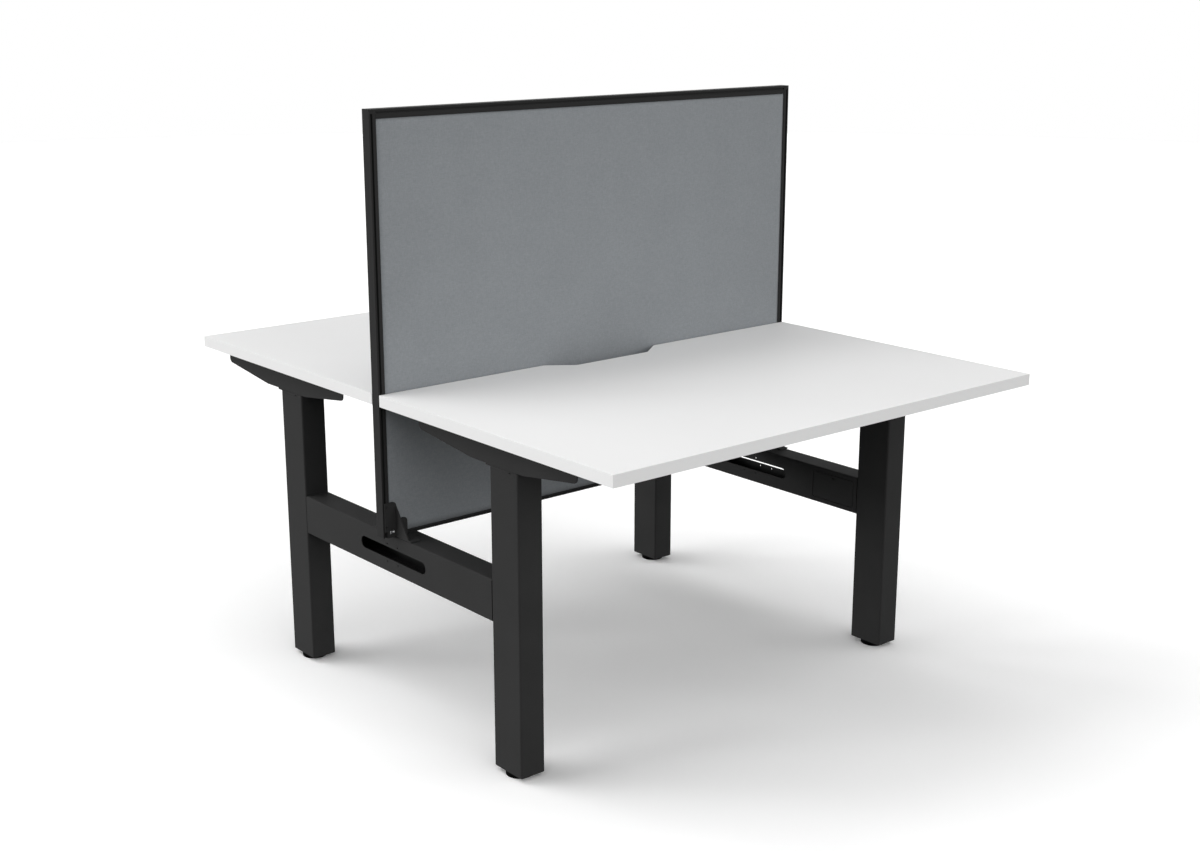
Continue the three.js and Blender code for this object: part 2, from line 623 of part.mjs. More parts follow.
// Screen post: a section with eased outer edges, a groove in both faces, a channel for the panel
// and a hollow that opens below
function screenPost(side) {
  const outer = side * SCREEN_END;
  const inner = side * (SCREEN_END - POST_WIDTH);
  const section = outline([
    [outer, -SCREEN_HALF, TRIM_RADIUS],
    [outer, SCREEN_HALF, TRIM_RADIUS],
    [inner, SCREEN_HALF],
    [inner, -SCREEN_HALF],
  ]);
  const grooves = [-1, 1].map((face) => box(
    side * (SCREEN_END - POST_TRIM_WIDTH), side * (SCREEN_END - POST_TRIM_WIDTH - POST_GROOVE_WIDTH),
    face * (SCREEN_HALF - POST_GROOVE_DEPTH), face * (SCREEN_HALF + CUT_MARGIN),
    SCREEN_BOTTOM - CUT_MARGIN, SCREEN_TOP - GROOVE_END,
  ));
  return without(
    slabXY(section, SCREEN_BOTTOM, SCREEN_TOP),
    ...grooves,
    box(
      inner - side * CUT_MARGIN, inner + side * LIP_REACH, -CHANNEL_HALF, CHANNEL_HALF,
      PANEL_BOTTOM - SEAT_GAP, PANEL_TOP + SEAT_GAP,
    ),
    box(
      outer - side * HOLLOW_WALL, inner + side * (LIP_REACH + HOLLOW_WALL), -HOLLOW_HALF, HOLLOW_HALF,
      SCREEN_BOTTOM - CUT_MARGIN, SCREEN_TOP - GROOVE_END,
    ),
  );
}

// Screen rail: the same kind of section between the posts; up is 1 for the top rail, -1 for the bottom
function screenRail(up, width, trim, groove, lipReach) {
  const outer = up > 0 ? SCREEN_TOP : SCREEN_BOTTOM;
  const inner = outer - up * width;
  const end = SCREEN_END - POST_WIDTH - SEAT_GAP;
  const past = end + CUT_MARGIN;
  const section = outline([
    [-SCREEN_HALF, outer, TRIM_RADIUS],
    [SCREEN_HALF, outer, TRIM_RADIUS],
    [SCREEN_HALF, inner],
    [-SCREEN_HALF, inner],
  ]);
  const grooves = [-1, 1].map((face) => box(
    -past, past, face * (SCREEN_HALF - GROOVE_DEPTH), face * (SCREEN_HALF + CUT_MARGIN),
    outer - up * trim, outer - up * (trim + groove),
  ));
  return without(
    slabYZ(section, -end, end),
    ...grooves,
    box(-past, past, -CHANNEL_HALF, CHANNEL_HALF, inner - up * CUT_MARGIN, inner + up * lipReach),
  );
}

// Worktop: a board with a cable scallop in its rear edge; end is -1 for the near desk, 1 for the far
function worktop(end) {
  const half = TOP_LENGTH / 2;
  const rear = end * TOP_REAR;
  const front = end * TOP_FRONT;
  const scallop = end * (TOP_REAR + SCALLOP_DEPTH);
  const board = outline([
    [-half, front],
    [-half, rear],
    [-SCALLOP_MOUTH / 2, rear, SCALLOP_RADIUS],
    [-SCALLOP_FLOOR / 2, scallop, SCALLOP_RADIUS],
    [SCALLOP_FLOOR / 2, scallop, SCALLOP_RADIUS],
    [SCALLOP_MOUTH / 2, rear, SCALLOP_RADIUS],
    [half, rear],
    [half, front],
  ]);
  return slabXY(board, TOP_UNDERSIDE, TOP_HEIGHT);
}

// Support arm: an upturned channel of folded sheet, deep over the column and shallow at both ends
function arm(side, end) {
  const x = side * COLUMN_X;
  const at = (reach) => end * COLUMN_Y + longWay(side) * reach;
  const profile = outline([
    [at(-ARM_SHORT_REACH), ARM_TOP],
    [at(ARM_LONG_REACH), ARM_TOP],
    [at(ARM_LONG_REACH), ARM_TOP - ARM_END_HEIGHT, ARM_END_RADIUS],
    [at(ARM_LONG_FLAT), ARM_BOTTOM],
    [at(-ARM_SHORT_FLAT), ARM_BOTTOM],
    [at(-ARM_SHORT_REACH), ARM_TOP - ARM_END_HEIGHT, ARM_END_RADIUS],
  ]);
  const channel = box(
    x - ARM_WIDTH / 2 + ARM_SHEET, x + ARM_WIDTH / 2 - ARM_SHEET,
    at(-ARM_SHORT_REACH - CUT_MARGIN), at(ARM_LONG_REACH + CUT_MARGIN),
    ARM_BOTTOM - CUT_MARGIN, ARM_TOP - ARM_SHEET,
  );
  return without(slabYZ(profile, x - ARM_WIDTH / 2, x + ARM_WIDTH / 2), channel);
}

// Cross rail: a tube between the two arms with a bolting plate at each end
function crossRail(end) {
  const y = end * COLUMN_Y;
  const reach = COLUMN_X - ARM_WIDTH / 2 - SEAT_GAP;
  const top = TOP_UNDERSIDE - RAIL_DROP;
  const middle = top - RAIL_HEIGHT / 2;
  const section = rectangleAt(y, middle, RAIL_DEPTH, RAIL_HEIGHT, RAIL_RADIUS);
  const hollow = rectangleAt(
    y, middle, RAIL_DEPTH - 2 * RAIL_WALL, RAIL_HEIGHT - 2 * RAIL_WALL, RAIL_RADIUS - RAIL_WALL,
  );
  const plate = rectangleAt(y, middle, RAIL_PLATE_DEPTH, RAIL_PLATE_HEIGHT, RAIL_RADIUS);
  return without(
    joined(
      slabYZ(section, -reach, reach),
      slabYZ(plate, -reach, -reach + RAIL_PLATE_THICK),
      slabYZ(plate, reach - RAIL_PLATE_THICK, reach),
    ),
    slabYZ(hollow, -reach - CUT_MARGIN, reach + CUT_MARGIN),
  );
}

// Control box: under the worktop behind the cross rail, with a row of sockets in its rear face
function controlBox(end) {
  const front = COLUMN_Y - RAIL_PLATE_DEPTH / 2 - CONTROL_RAIL_GAP;
  const rear = front - CONTROL_DEPTH;
  const top = TOP_UNDERSIDE - SEAT_GAP;
  const shell = rectangleAt(0, end * (front + rear) / 2, CONTROL_LENGTH, CONTROL_DEPTH, CONTROL_RADIUS);
  const sockets = Array.from({ length: SOCKET_COUNT }, (_, i) => {
    const x = (i - (SOCKET_COUNT - 1) / 2) * SOCKET_SPACING;
    const middle = top - CONTROL_HEIGHT / 2;
    return box(
      x - SOCKET_WIDTH / 2, x + SOCKET_WIDTH / 2, end * (rear - CUT_MARGIN), end * (rear + SOCKET_DEPTH),
      middle - SOCKET_HEIGHT / 2, middle + SOCKET_HEIGHT / 2,
    );
  });
  return without(slabXY(shell, top - CONTROL_HEIGHT, top), ...sockets);
}

// Where the handset sits, shared with its rocker
function handsetPlace(end) {
  const top = TOP_UNDERSIDE - SEAT_GAP;
  const front = TOP_FRONT - HANDSET_SETBACK;
  return {
    x: -end * HANDSET_OFFSET,
    top,
    middle: top - HANDSET_HEIGHT / 2,
    front: end * front,
    back: end * (front - HANDSET_DEPTH),
    pivot: end * (front - ROCKER_PIVOT_DEPTH),
  };
}

// Handset: a flat housing with a mouth in its front for the rocker
function handset(end) {
  const { x, top, middle, front, back, pivot } = handsetPlace(end);
  const shell = rectangleAt(x, (front + back) / 2, HANDSET_LENGTH, HANDSET_DEPTH, HANDSET_RADIUS);
  const mouthHalf = ROCKER_WIDTH / 2 + ROCKER_SIDE_GAP;
  const pinEnd = ROCKER_WIDTH / 2 + ROCKER_PIN_LENGTH + RUN_GAP;
  return without(
    slabXY(shell, top - HANDSET_HEIGHT, top),
    box(
      x - mouthHalf, x + mouthHalf, front + end * CUT_MARGIN, pivot - end * (ROCKER_HUB + ROCKER_SIDE_GAP),
      middle - ROCKER_MOUTH / 2, middle + ROCKER_MOUTH / 2,
    ),
    cylinderX(x - pinEnd, x + pinEnd, pivot, middle, ROCKER_PIN_RADIUS + RUN_GAP),
  );
}

// Rocker: a paddle on two short pins, pressed down to lower the worktop and up to raise it
function rocker(end) {
  const { x, middle, pivot } = handsetPlace(end);
  const tip = pivot + end * ROCKER_REACH;
  const half = ROCKER_WIDTH / 2;
  const blade = rectangle(pivot, tip, middle - ROCKER_HALF, middle + ROCKER_HALF, ROCKER_HALF - RUN_GAP);
  const pinEnd = half + ROCKER_PIN_LENGTH;
  return joined(
    slabYZ(blade, x - half, x + half),
    cylinderX(x - half, x + half, pivot, middle, ROCKER_HUB, INNER_SIDES),
    cylinderX(x - pinEnd, x + pinEnd, pivot, middle, ROCKER_PIN_RADIUS),
  );
}

const SIDES = [['left', -1], ['right', 1]];
const DESKS = [['near', -1], ['far', 1]];

for (const [deskName, end] of DESKS) {
  addPiece(`${deskName}_worktop`, worktop(end), 'white_melamine');
  addPiece(`${deskName}_cross_rail`, crossRail(end), 'black_steel');
  addPiece(`${deskName}_control_box`, controlBox(end), 'black_plastic');
  addPiece(`${deskName}_handset`, handset(end), 'black_plastic');
  addPiece(`${deskName}_rocker`, rocker(end), 'black_plastic');
  for (const [sideName, side] of SIDES) {
    const x = side * COLUMN_X;
    const y = end * COLUMN_Y;
    const place = `${deskName}_${sideName}`;
    addPiece(`${place}_column`, column(x, y), 'black_steel');
    addPiece(`${place}_glide`, glide(side, x, y), 'black_plastic');
    addPiece(`${place}_lift_tube`, liftTube(side, x, y), 'black_steel');
    addPiece(`${place}_motor`, motor(x, y), 'motor_grey');
    addPiece(`${place}_spindle`, spindle(x, y), 'bright_steel');
    addPiece(`${place}_nut_post`, nutPost(x, y), 'bright_steel');
    addPiece(`${place}_foot`, foot(x, y), 'black_plastic');
    addPiece(`${place}_arm`, arm(side, end), 'black_steel');
    addPiece(`${place}_access_cover`, cover(side, end), 'black_plastic');
    addPiece(`${place}_bracket`, bracket(side, end), 'black_steel');
  }
  addPiece(
    `${deskName}_fabric`,
    box(-PANEL_END, PANEL_END, end * FABRIC_INNER, end * FABRIC_OUTER, PANEL_BOTTOM, PANEL_TOP),
    'grey_fabric',
  );
}

for (const [sideName, side] of SIDES) {
  addPiece(`${sideName}_beam`, beam(side), 'black_steel');
  addPiece(`${sideName}_screen_post`, screenPost(side), 'black_aluminium');
}

addPiece(
  'screen_top_rail', screenRail(1, TOP_RAIL_WIDTH, TRIM_WIDTH, GROOVE_WIDTH, LIP_REACH), 'black_aluminium',
);
addPiece(
  'screen_bottom_rail',
  screenRail(-1, BOTTOM_RAIL_WIDTH, BOTTOM_TRIM_WIDTH, BOTTOM_GROOVE_WIDTH, BOTTOM_LIP_REACH),
  'black_aluminium',
);
addPiece(
  'screen_core',
  box(-PANEL_END, PANEL_END, -CORE_HALF, CORE_HALF, PANEL_BOTTOM, PANEL_TOP),
  'board',
);

export default desk;
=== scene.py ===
import math

import bmesh
import bpy
from mathutils import Matrix, Vector


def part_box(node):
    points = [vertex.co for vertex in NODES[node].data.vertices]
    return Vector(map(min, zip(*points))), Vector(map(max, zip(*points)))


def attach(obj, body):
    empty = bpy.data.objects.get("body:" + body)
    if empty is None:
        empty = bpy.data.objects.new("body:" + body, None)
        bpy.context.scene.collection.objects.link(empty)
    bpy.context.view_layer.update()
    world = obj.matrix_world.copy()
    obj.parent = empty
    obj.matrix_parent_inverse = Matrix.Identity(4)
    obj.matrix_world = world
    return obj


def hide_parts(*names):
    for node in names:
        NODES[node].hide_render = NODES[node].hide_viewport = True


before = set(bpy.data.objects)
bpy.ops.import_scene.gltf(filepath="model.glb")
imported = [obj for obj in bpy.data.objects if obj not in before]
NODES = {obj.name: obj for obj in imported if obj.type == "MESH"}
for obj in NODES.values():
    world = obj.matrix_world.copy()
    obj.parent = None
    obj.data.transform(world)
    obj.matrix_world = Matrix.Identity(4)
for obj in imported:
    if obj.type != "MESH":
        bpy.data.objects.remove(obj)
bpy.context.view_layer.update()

MM = 0.001
DESKS = (("near", -1), ("far", 1))
SIDES = (("left", -1), ("right", 1))
DOWN = (0, 0, -1)

# Camera, solved from the photo
CAMERA_PLACE = (-2.4097, -2.8851, 1.5642)
CAMERA_WAY = (0.62086, 0.73990, -0.25899)
CAMERA_LENS = 50.04
CAMERA_SENSOR = 36.0

# Light
DOME_LEVEL = 0.147
WIDE, NARROW = 40, 20            # how wide a lamp looks from the desk, in degrees
LAMPS = {                        # level on white that faces it, azimuth from +X and height in degrees, width
    "top_rear": (0.193, 90, 70, WIDE),
    "top_right": (0.151, 315, 70, WIDE),
    "left_rear": (0.281, 135, 45, WIDE),
    "left_front": (0.147, 225, 45, WIDE),
    "front": (0.310, 270, 20, WIDE),
    "front_low": (0.272, 315, 5, WIDE),
    "rear_low": (0.189, 110, 10, NARROW),
    "left_rear_low": (0.261, 135, 10, NARROW),
    "left_low": (0.292, 160, 10, NARROW),
}
FLOOR_SEEN = 1.15                # colour of the floor to the camera: its open part meets the white background
FLOOR_GREY = 0.20                # colour of the floor that lights the desk from below
FLOOR_RADIUS = 14.0
FLOOR_SIDES = 96
FLOOR_DROP = 0.2 * MM

# Finishes: the darkest and the lightest tone of each
POWDER_GREYS = (0.031, 0.040)
ALUMINIUM_GREYS = (0.022, 0.028)
PLASTIC_GREYS = (0.026, 0.034)
RUBBER_AND_CONTACT_SHADE_GREYS = (0.0012, 0.0028)
# feet: black rubber, darkened to near black as painted contact shade under the columns
SCREW_GREYS = (0.012, 0.028)
MOTOR_GREYS = (0.085, 0.125)
MOTOR_TINT = (1.0, 1.02, 1.04)
MELAMINE_GREYS = (0.828, 0.853)
MELAMINE_TINTS = ((1.0, 1.0, 0.997), (1.0, 1.0, 0.999))
BAND_GREYS = (0.840, 0.863)
BAND_TINTS = ((1.0, 1.0, 0.996), (1.0, 1.0, 0.998))
STEEL_COLOURS = ((0.50, 0.51, 0.53, 1.0), (0.66, 0.67, 0.68, 1.0))
CORE_COLOURS = ((0.26, 0.17, 0.09, 1.0), (0.52, 0.38, 0.23, 1.0))
FABRIC_COLOUR = (0.263, 0.279, 0.293)
DIE_LINES = 1500.0               # fine lines of an extrusion, across its length
DIE_STRETCH = 4.0                # and along it

# Worktop board
BAND_THICK = 2.0 * MM            # plastic edge band round the board
BAND_ROUND = 0.3 * MM            # radius of its upper and lower edges
SEAM_WIDTH = 0.25 * MM
SEAM_DEPTH = 0.12 * MM
BOARD_CORNER = 0.8 * MM
SCALLOP_MOUTH = 330 * MM         # cable cut-out in the rear edge
SCALLOP_FLOOR = 210 * MM
SCALLOP_DEPTH = 45 * MM
SCALLOP_RADIUS = 20 * MM
SHARPEST_RADIUS = 0.02 * MM
ARC_STEPS = 8
ROUND_STEPS = 4

# Screen cloth
CLOTH_THICK = 1.1 * MM
CLOTH_CROWN = 0.35 * MM          # how far the stretched cloth stands off in the middle
CLOTH_EDGE_DROP = 0.48 * MM      # how far it falls back where it turns over the edge of the core
CLOTH_RIPPLE = 0.03 * MM
CLOTH_CELLS = (64, 48)
WEAVE_PITCH = 1.3 * MM
YARN_STEP = 7.3                  # how far apart two yarns take their tone from the noise
YARN_STRETCH = 0.12              # and how slowly the tone changes along a yarn
WEFT_LAYER = 9.0                 # depth in the noise at which the weft takes its tone

# Fixings
SCREW_SIDES = 24
SHEET = 3 * MM                   # steel of the brackets, arms and head plates
SEAT = 0.3 * MM                  # gap between two seated pieces
PLATE_HOLES = (25 * MM, 69 * MM)
PLATE_HOLE_INSET = 3.6 * MM
CLIP_INSET = 18 * MM
CLIP_RISE = 12 * MM
CLIP_SIZE = (11.4 * MM, 7.4 * MM, 2.5 * MM)
CLIP_CORNER = 2 * MM
CLIP_GAP = 0.2 * MM
CLIP_LEVELS = (                  # inset from the outline, and height as a share of the thickness
    (0.0, 0.0), (0.0, 0.7), (0.4 * MM, 1.0), (2.2 * MM, 1.0), (2.6 * MM, 0.55),
)
FLANGE_REACH = 26 * MM
FLANGE_HOLE_EDGE = 14 * MM
GRUB_RADIUS = 1.7 * MM
GRUB_SUNK = 1.7 * MM
GRUB_CHAMFER = 0.3 * MM
GRUB_GAP = 0.1 * MM
GRUB_KEY = 1.87 * MM             # hexagon socket across its flats
GRUB_KEY_DEPTH = 0.8 * MM
BOLT_RADIUS = 4.6 * MM
BOLT_HEIGHT = 2.6 * MM
BOLT_KEY = 4.554 * MM
BOLT_KEY_DEPTH = 1.6 * MM
SMALL_SCREW_RADIUS = 2.8 * MM
SMALL_SCREW_HEIGHT = 1.4 * MM
SMALL_KEY = 3.08 * MM
SMALL_KEY_DEPTH = 0.9 * MM
DOME_ANGLES = (0.0, 0.3, 0.6, 0.85)
RIM_SHARE = 0.15                 # straight rim of a button head, as a share of its height
ARM_SCREW_REACHES = (-190 * MM, -110 * MM, 120 * MM, 200 * MM, 265 * MM)   # from the column axis
HEAD_BOLT_REACH = 53 * MM
HEAD_BOLT_OFFSETS = (-17 * MM, 17 * MM)
RAIL_BOLT_OFFSETS = (-30.5 * MM, 30.5 * MM)
CASE_SCREW_INSET = 12 * MM       # control box and handset

# Edges of the CAD pieces
EDGE_ANGLE = math.radians(50)
MERGE_DISTANCE = 0.002 * MM
FLAT_ANGLE = math.radians(0.3)
EDGE_SEGMENTS = 2
NORMAL_WEIGHT = 60
EDGE_KINDS = {                   # end of a node's name: finish, and edge radius in mm
    "column": ("powder", 0.3), "lift_tube": ("powder", 0.25), "arm": ("powder", 0.4),
    "bracket": ("powder", 0.3), "beam": ("powder", 0.2), "cross_rail": ("powder", 0.4),
    "access_cover": ("powder", 0.25), "foot": ("rubber", 0.2), "glide": ("plastic", 0.25),
    "screen_post": ("post", 0.25), "top_rail": ("rail", 0.25), "bottom_rail": ("rail", 0.25),
    "control_box": ("plastic", 1.2), "handset": ("plastic", 0.8), "rocker": ("plastic", 0.4),
    "motor": ("motor", 0.5), "spindle": ("steel", 0.3), "nut_post": ("steel", 0.4),
    "core": ("board", 0.3),
}


class Graph:
    """The nodes of one material, ending in a Principled shader."""

    def __init__(self, name, **values):
        self.material = bpy.data.materials.new(name)
        self.material.use_nodes = True
        self.tree = self.material.node_tree
        self.tree.nodes.clear()
        self.shader = self.node("ShaderNodeBsdfPrincipled")
        output = self.node("ShaderNodeOutputMaterial")
        self.tree.links.new(self.shader.outputs["BSDF"], output.inputs["Surface"])
        self.set(**values)

    def node(self, kind, inputs=None, **settings):
        node = self.tree.nodes.new(kind)
        for key, value in settings.items():
            setattr(node, key, value)
        for key, value in (inputs or {}).items():
            self.put(node.inputs[key], value)
        return node

    def put(self, socket, value):
        if isinstance(value, bpy.types.NodeSocket):
            self.tree.links.new(value, socket)
        else:
            socket.default_value = value

    def set(self, **values):
        for key, value in values.items():
            self.put(self.shader.inputs[key.replace("_", " ")], value)

    def place(self):
        return self.node("ShaderNodeTexCoord").outputs["Object"]

    def math(self, operation, a, b=0.0):
        return self.node("ShaderNodeMath", {0: a, 1: b}, operation=operation).outputs[0]

    def split(self, vector):
        return self.node("ShaderNodeSeparateXYZ", {0: vector}).outputs

    def join(self, x, y, z):
        return self.node("ShaderNodeCombineXYZ", {0: x, 1: y, 2: z}).outputs[0]

    def scaled(self, vector, scale):
        return self.node("ShaderNodeVectorMath", {0: vector, 1: scale}, operation="MULTIPLY").outputs[0]

    def noise(self, vector, scale, detail=2.0):
        inputs = {"Vector": vector, "Scale": scale, "Detail": detail}
        return self.node("ShaderNodeTexNoise", inputs).outputs["Fac"]

    def cells(self, vector, scale):
        return self.node("ShaderNodeTexVoronoi", {"Vector": vector, "Scale": scale})

    def span(self, value, low, high, from_low=0.0, from_high=1.0):
        inputs = {0: value, 1: from_low, 2: from_high, 3: low, 4: high}
        return self.node("ShaderNodeMapRange", inputs).outputs[0]

    def blend(self, factor, a, b):
        """Mixes two colours; 6, 7 and 2 are the colour sockets of the Mix node."""
        return self.node("ShaderNodeMix", {0: factor, 6: a, 7: b}, data_type="RGBA").outputs[2]

    def mixed_sum(self, a, b, share):
        """share of a, and the rest of b."""
        return self.math("ADD", self.math("MULTIPLY", a, share), self.math("MULTIPLY", b, 1.0 - share))

    def bump(self, height, strength, distance):
        inputs = {"Height": height, "Strength": strength, "Distance": distance}
        self.set(Normal=self.node("ShaderNodeBump", inputs).outputs["Normal"])


def grey(level, tint=(1.0, 1.0, 1.0)):
    """An RGBA colour of one level, with a slight tint."""
    return (level * tint[0], level * tint[1], level * tint[2], 1.0)


def greys(levels, tints=((1.0, 1.0, 1.0), (1.0, 1.0, 1.0))):
    return [grey(level, tint) for level, tint in zip(levels, tints)]


def powder_coat():
    """Fine-textured black powder coating on steel."""
    g = Graph("black_powder_coat", Specular_IOR_Level=0.02)
    place = g.place()
    clouds = g.noise(place, 9.0, 3.0)
    grains = g.noise(place, 1500.0, 2.0)
    peel = g.noise(place, 420.0, 2.0)
    tone = g.mixed_sum(clouds, grains, 0.55)
    g.set(Base_Color=g.blend(g.span(tone, 0.0, 1.0, 0.3, 0.7), *greys(POWDER_GREYS)))
    g.set(Roughness=g.span(g.math("ADD", clouds, grains), 0.43, 0.60, 0.7, 1.3))
    g.bump(g.math("ADD", grains, g.math("MULTIPLY", peel, 0.8)), 0.22, 0.06 * MM)
    return g.material


def black_aluminium(name, stretch):
    """Matt black extrusion with fine die lines along its length."""
    g = Graph(name, Specular_IOR_Level=0.03)
    place = g.place()
    lines = g.noise(g.scaled(place, stretch), 1.0, 3.0)
    speck = g.noise(place, 1900.0, 1.0)
    g.set(Base_Color=g.blend(g.span(lines, 0.0, 1.0, 0.3, 0.7), *greys(ALUMINIUM_GREYS)))
    g.set(Roughness=g.span(g.math("ADD", lines, speck), 0.40, 0.54, 0.7, 1.3))
    relief = g.math("ADD", g.math("MULTIPLY", lines, 0.6), g.math("MULTIPLY", speck, 0.5))
    g.bump(relief, 0.15, 0.05 * MM)
    return g.material


def black_plastic():
    """Moulded plastic with a spark-eroded grain."""
    g = Graph("black_plastic", Specular_IOR_Level=0.1)
    place = g.place()
    pits = g.cells(place, 1300.0).outputs["Distance"]
    clouds = g.noise(place, 14.0, 2.0)
    g.set(Base_Color=g.blend(g.span(clouds, 0.0, 1.0, 0.3, 0.7), *greys(PLASTIC_GREYS)))
    g.set(Roughness=g.span(pits, 0.50, 0.66, 0.0, 0.7))
    g.bump(pits, 0.35, 0.05 * MM)
    return g.material


def foot_rubber_and_shade():
    """Dull black rubber with a fine moulded grain, its tone pushed to near black as painted shade of the
    contact shadow under the foot.
    """
    g = Graph("black_rubber_and_painted_shade", Specular_IOR_Level=0.02)
    place = g.place()
    grain = g.noise(place, 1600.0, 2.0)
    bloom = g.noise(place, 60.0, 2.0)
    # painted shade: near-black greys stand in for the contact shadow under the foot
    g.set(Base_Color=g.blend(bloom, *greys(RUBBER_AND_CONTACT_SHADE_GREYS)))
    g.set(Roughness=g.span(grain, 0.66, 0.82, 0.3, 0.7))
    g.bump(grain, 0.2, 0.05 * MM)
    return g.material


def white_melamine():
    """White board face with a fine pearl texture."""
    g = Graph("white_melamine", Specular_IOR_Level=0.01)
    place = g.place()
    clouds = g.noise(place, 5.0, 3.0)
    pearl = g.noise(place, 1100.0, 2.0)
    fine = g.noise(place, 2600.0, 1.0)
    tone = g.mixed_sum(clouds, pearl, 0.6)
    g.set(Base_Color=g.blend(tone, *greys(MELAMINE_GREYS, MELAMINE_TINTS)))
    g.set(Roughness=g.span(pearl, 0.40, 0.52, 0.3, 0.7))
    g.bump(g.math("ADD", pearl, g.math("MULTIPLY", fine, 0.5)), 0.12, 0.05 * MM)
    return g.material


def edge_band():
    """Smooth white plastic edge band with faint scraper lines along the edge."""
    g = Graph("white_edge_band", Specular_IOR_Level=0.03)
    place = g.place()
    lines = g.noise(g.scaled(place, (6.0, 6.0, 1800.0)), 1.0, 2.0)
    clouds = g.noise(place, 7.0, 2.0)
    g.set(Base_Color=g.blend(clouds, *greys(BAND_GREYS, BAND_TINTS)))
    g.set(Roughness=g.span(lines, 0.33, 0.44, 0.3, 0.7))
    g.bump(lines, 0.08, 0.03 * MM)
    return g.material


def grey_fabric():
    """Plain weave of heathered yarn: lighter and darker threads over and under each other, with painted shade
    in the hollows between the yarns.
    """
    g = Graph("grey_fabric", Roughness=0.92, Specular_IOR_Level=0.2, Sheen_Weight=0.12, Sheen_Roughness=0.5)
    place = g.place()
    x, _, z = g.split(place)
    across = g.math("DIVIDE", x, WEAVE_PITCH)
    along = g.math("DIVIDE", z, WEAVE_PITCH)
    warp, weft = g.math("FLOOR", across), g.math("FLOOR", along)
    over = g.math("FLOORED_MODULO", g.math("ADD", warp, weft), 2.0)
    warp_round = g.math("SINE", g.math("MULTIPLY", g.math("FRACT", across), math.pi))
    weft_round = g.math("SINE", g.math("MULTIPLY", g.math("FRACT", along), math.pi))
    high = g.math("MAXIMUM", warp_round, weft_round)
    low = g.math("MULTIPLY", warp_round, weft_round)
    relief = g.mixed_sum(high, low, 0.35)
    slow_along = g.math("MULTIPLY", along, YARN_STRETCH)
    slow_across = g.math("MULTIPLY", across, YARN_STRETCH)
    warp_place = g.join(g.math("MULTIPLY", warp, YARN_STEP), slow_along, 0.0)
    weft_place = g.join(slow_across, g.math("MULTIPLY", weft, YARN_STEP), WEFT_LAYER)
    warp_yarn, weft_yarn = g.noise(warp_place, 1.0), g.noise(weft_place, 1.0)
    under = g.math("SUBTRACT", 1.0, over)
    yarn = g.math("ADD", g.math("MULTIPLY", over, warp_yarn), g.math("MULTIPLY", under, weft_yarn))
    fuzz = g.noise(place, 3200.0, 1.0)
    mottle = g.noise(place, 150.0, 2.0)
    clouds = g.noise(place, 9.0, 2.0)
    tone = g.span(yarn, 0.87, 1.13, 0.25, 0.75)
    # the relief factor is painted shade: it darkens the weave where the yarns dip into its hollows
    for factor in (g.span(mottle, 0.98, 1.02, 0.3, 0.7), g.span(clouds, 0.98, 1.02, 0.3, 0.7),
                   g.span(relief, 0.78, 1.08), g.span(fuzz, 0.96, 1.04, 0.3, 0.7)):
        tone = g.math("MULTIPLY", tone, factor)
    colour = g.node("ShaderNodeVectorMath", {0: FABRIC_COLOUR, "Scale": tone}, operation="SCALE")
    g.set(Base_Color=colour.outputs[0])
    g.bump(g.math("ADD", relief, g.math("MULTIPLY", fuzz, 0.25)), 0.55, 0.22 * MM)
    return g.material


def core_board():
    """Raw particle board."""
    g = Graph("core_board", Roughness=0.85, Specular_IOR_Level=0.3)
    place = g.place()
    chips = g.cells(g.scaled(place, (260.0, 700.0, 420.0)), 1.0)
    dust = g.noise(place, 900.0, 2.0)
    tone = g.mixed_sum(g.split(chips.outputs["Color"])[0], dust, 0.7)
    g.set(Base_Color=g.blend(tone, *CORE_COLOURS))
    g.bump(g.math("ADD", chips.outputs["Distance"], dust), 0.3, 0.2 * MM)
    return g.material


def bright_steel():
    """Zinc-plated steel with turning marks and a little spangle."""
    g = Graph("bright_steel", Metallic=1.0)
    place = g.place()
    turned = g.noise(g.scaled(place, (20.0, 20.0, 2200.0)), 1.0, 2.0)
    spangle = g.noise(place, 160.0, 2.0)
    g.set(Base_Color=g.blend(spangle, *STEEL_COLOURS))
    g.set(Roughness=g.span(g.math("ADD", turned, spangle), 0.24, 0.42, 0.7, 1.3))
    g.bump(turned, 0.12, 0.04 * MM)
    return g.material


def motor_grey():
    """Hammered grey enamel on the motor housing."""
    g = Graph("motor_grey", Metallic=0.3, Specular_IOR_Level=0.5)
    place = g.place()
    dents = g.cells(place, 380.0).outputs["Distance"]
    clouds = g.noise(place, 40.0, 2.0)
    g.set(Base_Color=g.blend(clouds, *greys(MOTOR_GREYS, (MOTOR_TINT, MOTOR_TINT))))
    g.set(Roughness=g.span(dents, 0.34, 0.52, 0.0, 0.8))
    g.bump(dents, 0.3, 0.12 * MM)
    return g.material


def black_screw():
    """Blackened steel screws."""
    g = Graph("black_screw", Metallic=0.6, Specular_IOR_Level=0.5)
    place = g.place()
    turned = g.noise(place, 1700.0)
    oil = g.noise(place, 220.0, 2.0)
    g.set(Base_Color=g.blend(oil, *greys(SCREW_GREYS)))
    g.set(Roughness=g.span(g.math("ADD", turned, oil), 0.32, 0.48, 0.7, 1.3))
    g.bump(turned, 0.15, 0.03 * MM)
    return g.material


